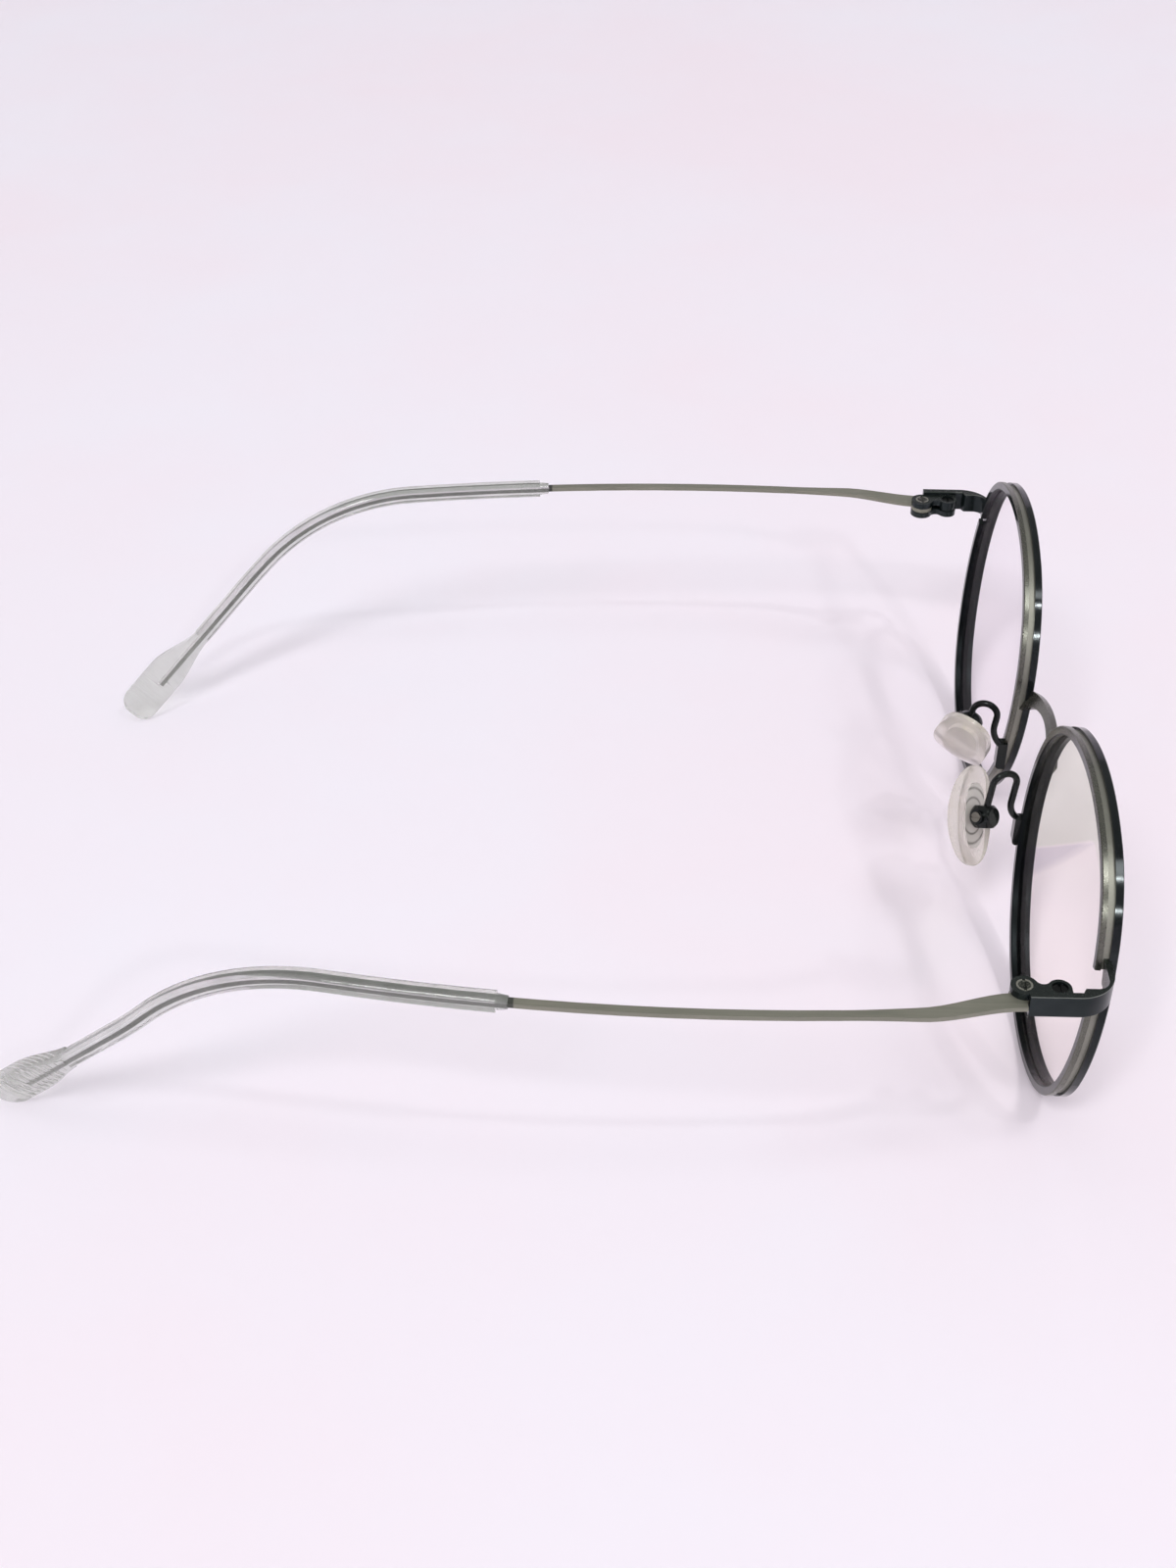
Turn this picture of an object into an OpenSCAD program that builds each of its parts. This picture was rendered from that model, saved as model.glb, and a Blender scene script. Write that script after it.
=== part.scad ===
// Round metal eyeglass frame with screw hinges, screw-on nose pads and clear temple tips.
// Working frame: origin midway between the two lens centres, +X to the wearer's left,
// +Y back along the temples, +Z up. stand() then sets the frame on its rims and tips.

/* [Front] */
// Distance between the two lens centres
lens_centres = 63.4; // [60:0.2:68]
// Lean of the lens plane, top forward, in degrees
lens_tilt = 3.6; // [0:0.2:7]

/* [Rim outline] */
// Radius of the outline on the temple side
side_r = 28.8; // [27:0.2:31]
// Radius of the outline at the upper outer corner
upper_outer_r = 16.8; // [15:0.2:19]
// Radius of the outline along the brow
brow_r = 30.2; // [28:0.2:33]
// Radius of the outline at the upper nose corner
upper_nose_r = 20; // [18:0.2:22]
// Radius of the outline at the lower nose corner
lower_nose_r = 24.6; // [23:0.2:26]
// Radius of the outline at the lower outer corner
lower_outer_r = 18.4; // [17:0.2:20]

/* [Rim wire] */
// Depth of the rim wire from front to back
rim_depth = 2.6; // [2.4:0.1:3.2]
// Thickness of the rim wire across its wall
rim_wall = 1.15; // [1.05:0.05:1.4]
// Width of the ridge along the front edge
front_ridge = 1; // [0.8:0.05:1.1]
// Width of the ridge along the back edge
back_ridge = 0.7; // [0.5:0.05:0.8]
// Depth of the channel that runs round the outside
channel_depth = 0.4; // [0.2:0.05:0.45]
// Depth of the groove that holds the lens
lens_groove = 0.4; // [0.3:0.02:0.42]
// Half the width of the lens groove at its mouth
lens_groove_half = 0.55; // [0.4:0.05:0.7]
// Chamfer along the edges of the wire
wire_chamfer = 0.12; // [0.05:0.01:0.2]

/* [Rim notches] */
// Where the right rim is cut away, in degrees above its centre line
notch_right_angle = 18.7; // [17:0.1:20]
// Length of the cut in the right rim
notch_right_gap = 3; // [1:0.1:3.4]
// Where the left rim is cut away, in degrees above its centre line
notch_left_angle = 21.9; // [18:0.1:23]
// Length of the cut in the left rim
notch_left_gap = 1.2; // [0.8:0.1:2]

/* [Lenses] */
// Thickness of the lens
lens_thick = 1.3; // [1:0.1:1.6]
// Radius of the curve of the lens
lens_curve_r = 125; // [105:1:200]
// Gap between the lens and the rim
lens_gap = 0.05; // [0.02:0.01:0.1]

/* [Endpieces] */
// How far an endpiece's outer face stands beyond the rim's outer edge
endpiece_beyond = 4.7; // [4.2:0.05:5.2]
// Height of the endpiece strap
strap_h = 3.05; // [2.8:0.05:3.4]
// Height of the strap's middle above the lens centre
strap_z = 8.7; // [8.3:0.05:9]
// Thickness of the endpiece strap
strap_t = 0.85; // [0.7:0.05:1]
// Outer radius of the bend at the front corner
corner_r = 4.6; // [3.4:0.1:5]
// Thickness of the endpiece's side behind that bend
corner_t = 1.6; // [1.2:0.1:1.9]
// How far back the thick side reaches behind the lens plane
corner_back = 2.6; // [2:0.1:3]
// How far the strap's front face stands ahead of the lens plane
strap_ahead = 1.2; // [1:0.05:1.4]
// How deep the strap and the bridge are brazed into the rim's edge
braze = 0.4; // [0.2:0.05:0.5]

/* [Hinges] */
// How far the hinge screw stands inside the endpiece's outer face
hinge_in = 2.55; // [2.35:0.05:2.75]
// Distance from the lens plane back to the hinge screw
hinge_y = 9.55; // [9:0.05:11]
// Distance from the hinge screw forward to the closing screw
closing_ahead = 4.1; // [3.8:0.1:4.6]
// How much further out the closing screw stands than the hinge screw
closing_out = 0.3; // [0:0.05:0.4]
// Radius of the round ears of the hinge plates
ear_r = 1.65; // [1.5:0.05:1.75]
// Radius of the smaller ears round the closing screw
closing_ear_r = 1.4; // [1.3:0.05:1.6]
// Radius of the hollow between the two ears
ear_hollow_r = 0.9; // [0.7:0.1:1.5]
// Thickness of the two hinge plates
plate_t = 0.9; // [0.7:0.05:1]
// How far the endpiece strap stands above the upper plate
plate_drop = 0.5; // [0.1:0.05:0.55]
// Radius of the hinge screw's shank
hinge_screw_r = 0.6; // [0.5:0.05:0.7]
// Radius of the hinge screw's head
hinge_head_r = 1; // [0.9:0.05:1.15]
// Radius of the closing screw's shank
closing_screw_r = 0.55; // [0.45:0.05:0.65]
// Radius of the closing screw's head
closing_head_r = 0.95; // [0.85:0.05:1.1]
// How far the hinge screw's head stands above the plate's face
hinge_head_proud = 0.05; // [0:0.05:0.15]
// How deep the closing screw's head lies under the plate's face
closing_head_sunk = 0.2; // [0.05:0.05:0.3]
// Thickness of the screw heads
screw_head_t = 0.35; // [0.3:0.05:0.4]
// Radial running clearance of the screws
screw_gap = 0.03; // [0.02:0.01:0.06]
// Clearance over and under the temple in its hinge, and at its stop
hinge_gap = 0.05; // [0.03:0.01:0.1]

/* [Temples] */
// Thickness of the temple strip
strip_t = 0.6; // [0.5:0.05:0.8]
// Width of the temple strip behind its flared root
strip_w = 1.15; // [1:0.05:1.4]
// Width of the temple at its root
root_w = 2.6; // [2.4:0.05:2.9]
// How far the middle of the temple's root lies inside the endpiece's outer face
root_in = 0.95; // [0.75:0.05:1.05]
// How far the temple steps outward from its root
jog_out = 2.94; // [2.4:0.02:3.5]
// Distance behind the hinge screw where that step starts
jog_from = 0.7; // [0.5:0.1:1]
// Distance behind the hinge screw where the step ends
jog_to = 12.2; // [11:0.1:13.5]
// Distance behind the hinge screw where the root starts to narrow
taper_from = 1.2; // [1:0.1:1.6]
// Distance from the lens plane back to where the flared root ends
root_end = 31; // [27:0.5:33]
// Outward slope of the temple where the root ends, in degrees
strip_slope = 2.6; // [1.5:0.1:4]
// Radius of the temple's long outward bow
bow_r = 276; // [240:4:400]
// Length of bare strip between the root and the tip's collar
bare_len = 40; // [36:0.5:45]
// Length from the collar to the bend behind the ear
cover_len = 20.7; // [18:0.1:26]
// Radius of the bend behind the ear
ear_bend_r = 32.6; // [26:0.2:38]
// Angle of the bend behind the ear
ear_bend = 45; // [42:0.1:52]
// How far that bend turns inward, in degrees from straight down
ear_turn = -0.5; // [-4:0.5:6]
// Radius of the inward curve of the tail
tail_r = 30; // [20:5:90]
// Angle of the inward curve of the tail
tail_bend = 11; // [6:0.5:14]
// Length of the straight tail before the paddle
tail_len = 12.4; // [9:0.1:15]

/* [Temple tips] */
// Width of the tip's section, across the head
tip_w = 2.1; // [1.9:0.05:2.4]
// Height of the tip's section
tip_h = 2.3; // [2:0.05:2.6]
// Diameter that rounds the section's corners
tip_round = 2.65; // [2.4:0.05:2.8]
// Length of the tapered collar
collar_len = 1.4; // [0.8:0.1:2.5]
// Length of the paddle at the end
paddle_len = 17.5; // [15:0.1:19]
// Width of the paddle
paddle_w = 5.8; // [5.2:0.1:7]
// Length over which the paddle widens
paddle_flare = 9; // [7:0.1:10]
// How far the paddle stands up from the core's line
paddle_up = 0.5; // [0:0.05:0.8]
// How far the paddle is turned about its length, upper edge outward, in degrees
paddle_roll = 15; // [0:1:20]
// Thickness of the paddle
paddle_t = 2.1; // [1.9:0.05:2.4]
// Radius of the paddle's domed faces
paddle_dome_r = 8.4; // [7.5:0.1:14]
// Radius of the corners at the paddle's end
paddle_corner_r = 2.2; // [1.6:0.1:2.6]
// Number of grip ribs on each face of the paddle
rib_count = 9; // [5:1:10]
// Distance from rib to rib
rib_pitch = 1.3; // [1.1:0.05:1.4]
// Distance from the paddle's end to the last rib
rib_end = 3.3; // [2.6:0.1:4]
// Width of a grip rib
rib_w = 0.5; // [0.4:0.05:0.6]
// Height of a grip rib
rib_rise = 0.15; // [0.1:0.01:0.25]
// Length of the metal core inside the paddle
core_in_paddle = 10.6; // [8:0.1:12]
// Clearance between the metal core and the tip
core_gap = 0.04; // [0.02:0.01:0.1]

/* [Bridge] */
// Height of the bridge's feet above the lens centres
bridge_z = 4.75; // [3:0.05:6]
// Rise of the bridge from its feet to its middle
bridge_rise = 2.7; // [2:0.1:3.5]
// Forward lean of the bridge, in degrees
bridge_lean = 25; // [10:1:40]
// Width of the bridge at its feet
bridge_foot_w = 3.2; // [2.4:0.1:3.8]
// Width of the bridge in the middle
bridge_mid_w = 1.3; // [1.1:0.1:2]
// Thickness of the bridge
bridge_t = 1; // [0.9:0.05:1.4]
// How far the middle of the bridge's feet lies ahead of the lens plane
bridge_ahead = 1.3; // [1.1:0.05:1.5]

/* [Pad arms] */
// Diameter of the pad arm wire
arm_d = 0.95; // [0.8:0.05:1.1]
// Height of the arm's foot against the lens centres
arm_foot_z = -5.1; // [-6:0.1:-4.5]
// Length of the arm's foot
arm_foot_h = 4.4; // [3.6:0.1:4.8]
// How far the foot reaches over the rim's back
arm_foot_over = 0.45; // [0.3:0.05:0.7]
// How far the foot stands out behind the rim
arm_foot_d = 0.7; // [0.6:0.05:1]
// How far the wire stands from the rim's edge towards the nose
arm_in = 0.7; // [0.6:0.05:0.8]
// Direction of the arm's plane, in degrees outward from straight back
arm_plane = 17.7; // [10:0.1:25]
// Backward slope of the wire where it leaves its foot, in degrees
arm_start_slope = 50.6; // [44:0.2:56]
// Radius of the wire's first curve
arm_sweep_r = 3.4; // [3:0.1:4]
// Angle of the wire's first curve
arm_sweep = 56.6; // [50:0.2:62]
// Straight length of the right arm before its loop
arm_rise_right = 3.05; // [2:0.05:3.5]
// Straight length of the left arm before its loop
arm_rise_left = 1.6; // [1:0.05:3.5]
// Radius of the wire's loop
arm_loop_r = 1.8; // [1.6:0.05:2.1]
// Angle of the wire's loop
arm_loop = 180; // [170:1:188]
// Straight length of the right arm down to the middle of its pad box
arm_drop_right = 5.25; // [4.5:0.05:5.8]
// Straight length of the left arm down to the middle of its pad box
arm_drop_left = 2.5; // [2.3:0.05:5.8]

/* [Pad boxes] */
// Half the width of the pad box
box_r = 1.7; // [1.6:0.05:1.8]
// How far the boss for the screw stands out of the box
box_boss = 0.4; // [0.3:0.05:0.5]
// Width of the slot that takes the pad's lug
box_slot = 0.9; // [0.8:0.05:1]
// Clearance of the lug on each side of its slot and round its screw
lug_gap = 0.05; // [0.03:0.01:0.08]
// Radius of the pad screw's shank
pad_screw_r = 0.35; // [0.3:0.05:0.4]
// Radius of the pad screw's head
pad_head_r = 0.7; // [0.6:0.05:0.75]

/* [Nose pads] */
// Length of the pad
pad_len = 14; // [12:0.1:15]
// Width of the pad
pad_w = 8.2; // [7.4:0.1:9]
// Thickness of the pad
pad_t = 2.4; // [2:0.1:3]
// Radius of the pad's round ends
pad_end_r = 3.5; // [3:0.1:3.65]
// Radius of the dome on the pad's face
pad_dome_r = 14; // [12:0.5:18]
// Outward slant of the pad's lower end, in degrees
pad_slant = 34; // [24:1:36]
// Forward turn of the pad's back, in degrees
pad_splay = 39; // [30:1:44]
// How much further the right pad is turned on its screw box
pad_turn_right = 8; // [0:1:8]
// How much less the left pad is turned on its screw box
pad_turn_left = 5.5; // [0:0.5:8]
// Distance from the pad box's middle to the pad's back face
pad_off = 1.9; // [1.85:0.05:2.2]
// How far the pad's middle lies ahead of its screw box
pad_ahead = 0.55; // [0:0.05:0.8]
// Length of the hard insert in the pad
insert_len = 9; // [8:0.1:9.6]
// Width of the hard insert in the pad
insert_w = 4.8; // [4:0.1:5.2]
// Thickness of the hard insert
insert_t = 0.8; // [0.6:0.05:1]
// Radius of the insert's round ends
insert_end_r = 2; // [1.8:0.05:2]

/* [Hidden] */
$fn = 64;
eps = 0.01;
// Neighbouring lengths of a sweep run into each other by lap, and every second one is
// fuller by step, so that they join as one solid
lap = 0.06;
step = 0.006;

// Colours
gunmetal = [0.16, 0.18, 0.19];
olive_grey = [0.54, 0.54, 0.48];
dark_steel = [0.3, 0.31, 0.3];
lens_tint = [0.93, 0.92, 0.9, 0.35];
smoke_clear = [0.75, 0.76, 0.76, 0.6];
pad_clear = [0.88, 0.87, 0.84, 0.6];
insert_clear = [0.8, 0.8, 0.78, 0.7];

// Rim outline: eight tangent arcs of 45 degrees, counted from the temple side over the brow.
// The nose and base arcs take the radii that close the outline.
q = sqrt(0.5);
nose_r = side_r + q * (upper_outer_r + lower_outer_r - upper_nose_r - lower_nose_r);
base_r = brow_r + q * (upper_outer_r + upper_nose_r - lower_nose_r - lower_outer_r);
arc_r = [side_r, upper_outer_r, brow_r, upper_nose_r, nose_r, lower_nose_r, base_r, lower_outer_r];
arc_span = 360 / len(arc_r);
side_arc = 0;
nose_arc = 4;
function polar(r, a) = r * [cos(a), sin(a)];
function raw_centre(i) =
    i < 1 ? [0, 0] : raw_centre(i - 1) + polar(arc_r[i - 1] - arc_r[i], arc_span * (i - 0.5));
outline_right = raw_centre(0).x + arc_r[0];
outline_left = raw_centre(4).x - arc_r[4];
outline_top = raw_centre(2).y + arc_r[2];
outline_bottom = raw_centre(6).y - arc_r[6];
outline_mid = [outline_right + outline_left, outline_top + outline_bottom] / 2;
rim_w = outline_right - outline_left;
rim_h = outline_top - outline_bottom;
function arc_centre(i) = raw_centre(i) - outline_mid;

// Hinge stack, from the lower plate up
strap_low = strap_z - strap_h / 2;
strap_top = strap_z + strap_h / 2;
plate_top = strap_top - plate_drop;
upper_plate_z = plate_top - plate_t;
strip_top = upper_plate_z - hinge_gap;
strip_low = strip_top - strip_t;
lower_plate_top = strip_low - hinge_gap;
lower_plate_z = lower_plate_top - plate_t;
strip_z = (strip_top + strip_low) / 2;
endpiece_out = lens_centres / 2 + rim_w / 2 + endpiece_beyond;
hinge_x = endpiece_out - hinge_in;
root_x = endpiece_out - root_in;
strip_x = root_x + jog_out;
hinge_at = [hinge_x, hinge_y];
closing_at = [hinge_x + closing_out, hinge_y - closing_ahead];
strap_in = endpiece_out - strap_t;
stop_y = hinge_y - 0.2;
strap_end = stop_y - 3 * hinge_gap;
eye_r = ear_r - hinge_gap;
hinge_head_z = plate_top + hinge_head_proud - screw_head_t;
closing_head_z = plate_top - closing_head_sunk - screw_head_t;

// Rigid transforms as matrices, so that solids and points follow the same path
function shift(v) = [[1, 0, 0, v.x], [0, 1, 0, v.y], [0, 0, 1, v.z], [0, 0, 0, 1]];
function turn_x(a) = [[1, 0, 0, 0], [0, cos(a), -sin(a), 0], [0, sin(a), cos(a), 0], [0, 0, 0, 1]];
function turn_y(a) = [[cos(a), 0, sin(a), 0], [0, 1, 0, 0], [-sin(a), 0, cos(a), 0], [0, 0, 0, 1]];
function turn_z(a) = [[cos(a), -sin(a), 0, 0], [sin(a), cos(a), 0, 0], [0, 0, 1, 0], [0, 0, 0, 1]];
function place(m, v) = [for (i = [0:2]) (m * [v.x, v.y, v.z, 1])[i]];
function direction(m, v) = [for (i = [0:2]) (m * [v.x, v.y, v.z, 0])[i]];
// End of a bend of radius r through angle a, towards local +X turned by dir about the path
function bend_end(r, a, dir) =
    turn_z(dir) * shift([r, 0, 0]) * turn_y(a) * shift([-r, 0, 0]) * turn_z(-dir);

// Temple path: local +Z runs along the strip, +X points inward, +Y points up
inward = 0;
downward = -90;
degree = 180 / PI;
path_start = shift([strip_x, root_end, strip_z])
    * [[-1, 0, 0, 0], [0, 0, 1, 0], [0, 1, 0, 0], [0, 0, 0, 1]] * turn_y(-strip_slope);
bare_a = bare_len / bow_r * degree;
cover_a = cover_len / bow_r * degree;
ear_dir = downward + ear_turn;
at_collar = path_start * bend_end(bow_r, bare_a, inward);
at_ear = at_collar * bend_end(bow_r, cover_a, inward);
at_tail = at_ear * bend_end(ear_bend_r, ear_bend, ear_dir);
at_straight = at_tail * bend_end(tail_r, tail_bend, inward);
at_paddle = at_straight * shift([0, 0, tail_len]) * turn_z(paddle_roll);
core_len = tail_len + core_in_paddle;

// Bridge: an arch between two circles in a plane that leans forward
bridge_half = lens_centres / 2 - rim_w / 2;
bridge_upper_rise = bridge_rise + (bridge_mid_w - bridge_foot_w) / 2;
bridge_lower_rise = bridge_rise + (bridge_foot_w - bridge_mid_w) / 2;
function arch_r(rise) = (bridge_half * bridge_half + rise * rise) / (2 * rise);
bridge_frame = shift([0, -bridge_ahead, bridge_z]) * turn_x(90 + bridge_lean);
bridge_front = place(bridge_frame, [0, bridge_rise + bridge_mid_w / 2, bridge_t / 2]);

// Resting pose: the frame leans back until the rims and the paddles touch the table together
paddle_low = place(at_paddle, [0, paddle_up + paddle_corner_r - paddle_w / 2, paddle_len - paddle_corner_r]);
paddle_high = place(at_paddle, [0, paddle_up + paddle_w / 2 - paddle_corner_r, paddle_len - paddle_corner_r]);
// Fall of the paddle's domed face at y from its middle
function dome_fall(y) = paddle_dome_r - sqrt(paddle_dome_r * paddle_dome_r - y * y);
// Reach of the paddle's end beyond its corner's middle, along the direction n
function paddle_reach(n) =
    let (
        across = n * direction(at_paddle, [1, 0, 0]),
        up = n * direction(at_paddle, [0, 1, 0]),
        flat = sqrt(1 - across * across),
        y = paddle_w / 2 - paddle_corner_r * (1 - abs(up) / flat)
    )
    paddle_corner_r * flat + (paddle_t / 2 - dome_fall(y)) * abs(across);
function paddle_bottom(t) =
    let (n = [0, -sin(t), -cos(t)]) -(n * paddle_low) - paddle_reach(n);
function rim_bottom(t) = -(rim_h / 2 * cos(lens_tilt + t) + rim_depth / 2 * sin(lens_tilt + t));
// Newton steps on the difference in height, which a tilt changes by the paddle's distance
function settle(t, n) =
    n == 0 ? t : settle(t + (rim_bottom(t) - paddle_bottom(t)) / paddle_low.y * degree, n - 1);
stand_tilt = settle(0, 5);
lift = -rim_bottom(stand_tilt);
front_reach = max(
    rim_h / 2 * sin(lens_tilt + stand_tilt) + rim_depth / 2 * cos(lens_tilt + stand_tilt),
    -place(turn_x(stand_tilt), bridge_front).y
);
back_reach = let (n = [0, cos(stand_tilt), -sin(stand_tilt)]) n * paddle_high + paddle_reach(n);
mid_y = (back_reach - front_reach) / 2;
standing = shift([0, -mid_y, lift]) * turn_x(stand_tilt);

// Pad arm path, from the top of the foot; local +Z runs along the wire, +X points back
foot_back = rim_depth / 2 * cos(lens_tilt) - arm_foot_z * sin(lens_tilt);
foot_x = lens_centres / 2 + arc_centre(nose_arc).x
    - sqrt(pow(nose_r - rim_wall / 8, 2) - pow(arm_foot_z - arc_centre(nose_arc).y, 2));
wire_x = foot_x - arm_in;
arm_start = shift([wire_x, foot_back + arm_foot_d / 2, arm_foot_z + arm_foot_h / 2 - arm_d / 3])
    * turn_z(90 - arm_plane) * turn_y(arm_start_slope);
forward_bend = 180;
back_bend = 0;
after_sweep = arm_start * bend_end(arm_sweep_r, arm_sweep, forward_bend);
// The two arms were set by hand: each has its own rise, drop and turn
LEFT = 0;
RIGHT = 1;
arm_rise = [arm_rise_left, arm_rise_right];
arm_drop = [arm_drop_left, arm_drop_right];
pad_turn = [-pad_turn_left, pad_turn_right];
function before_loop(side) = after_sweep * shift([0, 0, arm_rise[side]]);
function after_loop(side) = before_loop(side) * bend_end(arm_loop_r, arm_loop, back_bend);
function box_at(side) = place(after_loop(side), [0, 0, arm_drop[side]]);
lug_t = box_slot - 2 * lug_gap;
lug_r = 0.9;
pad_seat_y = box_r + box_boss - 0.25;

// Shared placing
module stand() {
    multmatrix(standing) children();
}

module at_lens() {
    translate([lens_centres / 2, 0, 0]) rotate([90 + lens_tilt, 0, 0]) children();
}

module at_pad(side) {
    translate(box_at(side)) rotate([0, -pad_slant, 0]) rotate([0, 0, -pad_splay - pad_turn[side]])
        children();
}

module other_side() {
    mirror([1, 0, 0]) children();
}

// Sweep of a section along the path: a bend towards local +X turned by dir
module bend(r, a, dir) {
    rotate([0, 0, dir]) translate([r, 0, 0]) rotate([90, 0, 180])
        rotate_extrude(angle = a + lap / r * degree) translate([r, 0]) mirror([1, 0])
            rotate(-dir) children();
}

module run(length) {
    linear_extrude(height = length + lap) children();
}

// One arc of a sweep round the rim outline: x is the distance out from the outline
module along_arc(i) {
    over = lap / arc_r[i] * degree;
    translate(arc_centre(i)) rotate(arc_span * (i - 0.5) - over)
        rotate_extrude(angle = arc_span + 2 * over) translate([arc_r[i], 0]) children();
}

function fuller(i) = i % 2 * step;

// Section of the rim wire: a channel outside, the lens groove inside; g makes it fuller
module rim_section(g) {
    f = rim_depth / 2 + g;
    c = wire_chamfer;
    front = rim_depth / 2 - front_ridge - g;
    back = back_ridge - rim_depth / 2 + g;
    floor = g - channel_depth;
    lip = -rim_wall - g;
    polygon([
        [g - c, f], [g, f - c], [g, front], [floor, front], [floor, back], [g, back],
        [g, c - f], [g - c, -f], [lip + c, -f], [lip, c - f], [lip, g - lens_groove_half],
        [lip + lens_groove, 0], [lip, lens_groove_half - g], [lip, f - c], [lip + c, f]
    ]);
}

module rim_wire() {
    for (i = [0:len(arc_r) - 1]) along_arc(i) rim_section(fuller(i));
}

// Rim wire with a notch that leaves only its front ridge
module rim(notch_angle, notch_gap) {
    reach = 3 * rim_wall;
    at_lens() difference() {
        rim_wire();
        rotate(notch_angle)
            translate([rim_w / 2 - reach, -notch_gap / 2, -rim_depth])
                cube([2 * reach, notch_gap, 1.5 * rim_depth - front_ridge]);
    }
}

// Lens: a curved shell with a bevelled edge that sits in the rim's groove
module lens() {
    edge = -rim_wall - lens_gap;
    edge_r = rim_h / 2 - rim_wall;
    drop = sqrt(lens_curve_r * lens_curve_r - edge_r * edge_r);
    at_lens() union() {
        intersection() {
            linear_extrude(height = 4 * lens_thick, center = true) lens_outline(edge);
            translate([0, 0, -drop]) difference() {
                rotate([90, 0, 0]) sphere(r = lens_curve_r + lens_thick / 2, $fn = 240);
                rotate([90, 0, 0]) sphere(r = lens_curve_r - lens_thick / 2, $fn = 240);
            }
        }
        for (i = [0:len(arc_r) - 1]) along_arc(i) bevel_section(edge, fuller(i));
    }
}

// Lens outline: a sector for each arc round a disc that fills the middle
module lens_outline(edge) {
    circle(r = rim_w / 3);
    for (i = [0:len(arc_r) - 1]) translate(arc_centre(i)) intersection() {
        circle(r = arc_r[i] + edge + fuller(i));
        rotate(arc_span * (i - 0.5)) polygon([
            polar(lap, arc_span / 2), [2 * rim_w, -lap], [2 * rim_w, 2 * rim_w], polar(lap, 90 + arc_span)
        ]);
    }
}

// Section of the lens bevel, from inside the shell out to its tip
module bevel_section(edge, g) {
    half = lens_groove_half - lens_gap + g;
    polygon([
        [edge - 3 * lens_gap, 0], [edge - eps, -half], [edge + lens_groove + g, 0],
        [edge - eps, half]
    ]);
}

module bridge_arch() {
    upper = arch_r(bridge_upper_rise);
    lower = arch_r(bridge_lower_rise);
    reach = bridge_half + 2 * braze;
    intersection() {
        translate([0, bridge_foot_w / 2 + bridge_upper_rise - upper]) circle(r = upper);
        difference() {
            translate([-reach, -bridge_foot_w]) square([2 * reach, 2 * bridge_foot_w + bridge_rise]);
            translate([0, bridge_lower_rise - bridge_foot_w / 2 - lower]) circle(r = lower);
        }
    }
}

module bridge() {
    color(gunmetal) stand() difference() {
        multmatrix(bridge_frame) linear_extrude(height = bridge_t, center = true) bridge_arch();
        rim_core(nose_arc);
        other_side() rim_core(nose_arc);
    }
}

// What lies inside one arc of the rim, less the depth of the braze
module rim_core(i) {
    at_lens() translate([arc_centre(i).x, arc_centre(i).y, -2 * rim_depth])
        cylinder(r = arc_r[i] - braze, h = 4 * rim_depth);
}

// Plan of the two hinge plates: two round ears with a hollow between them
module plate_plan() {
    gap = closing_at - hinge_at;
    to_hinge = ear_r + ear_hollow_r;
    to_closing = closing_ear_r + ear_hollow_r;
    along = (to_hinge * to_hinge - to_closing * to_closing + gap * gap) / (2 * norm(gap));
    hollow_at = hinge_at + along * gap / norm(gap)
        + sqrt(to_hinge * to_hinge - along * along) * [gap.y, -gap.x] / norm(gap);
    front = closing_at.y - closing_ear_r;
    difference() {
        union() {
            translate(hinge_at) circle(r = ear_r);
            translate(closing_at) circle(r = closing_ear_r);
            polygon([
                hinge_at, hollow_at, closing_at, [closing_at.x, front],
                [strap_in, front], [strap_in, strap_end], [hinge_x, strap_end]
            ]);
        }
        translate(hollow_at) circle(r = ear_hollow_r);
        translate([strap_in, front - ear_r]) square([ear_r, 4 * ear_r + closing_ahead]);
    }
}

module screw_hole(at, r) {
    translate([at.x, at.y, lower_plate_z - 1]) cylinder(r = r, h = strap_h + 2);
}

// Plan of the strap: a flat front, a round corner with a thick side, and a thin band behind it
module strap_plan() {
    mid = [endpiece_out - corner_r, corner_r - strap_ahead];
    inner_x = lens_centres / 2 + rim_w / 4;
    inner_y = strap_t - strap_ahead;
    thick_in = endpiece_out - corner_t;
    fillet_r = 1.5;
    difference() {
        union() {
            intersection() {
                translate(mid) circle(r = corner_r);
                translate([mid.x - eps, -strap_ahead]) square(corner_r + eps);
            }
            translate([inner_x, -strap_ahead]) square([mid.x - inner_x, corner_r]);
            translate([mid.x, mid.y - eps]) square([corner_r, strap_end - mid.y + eps]);
        }
        polygon([
            [inner_x - 1, inner_y], [thick_in - fillet_r, inner_y],
            [thick_in, inner_y + fillet_r], [thick_in, corner_back],
            [strap_in, corner_back + 0.4], [strap_in, 2 * hinge_y], [inner_x - 1, 2 * hinge_y]
        ]);
        translate([thick_in - fillet_r, inner_y + fillet_r]) circle(r = fillet_r);
    }
}

// Endpiece: a strap bent round the corner, with the upper hinge plate on its inside
module endpiece() {
    difference() {
        union() {
            translate([0, 0, strap_low]) linear_extrude(height = strap_h) strap_plan();
            translate([0, 0, upper_plate_z]) linear_extrude(height = plate_t) union() {
                plate_plan();
                translate([strap_in - lap, closing_at.y - closing_ear_r])
                    square([strap_t / 2, strap_end - closing_at.y + closing_ear_r]);
            }
        }
        rim_core(side_arc);
        screw_hole(hinge_at, hinge_screw_r + screw_gap);
        screw_hole(closing_at, closing_screw_r + screw_gap);
        translate([hinge_at.x, hinge_at.y, hinge_head_z])
            cylinder(r = hinge_head_r + screw_gap, h = strap_h);
        translate([closing_at.x, closing_at.y, closing_head_z])
            cylinder(r = closing_head_r + screw_gap, h = strap_h);
    }
}

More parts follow.
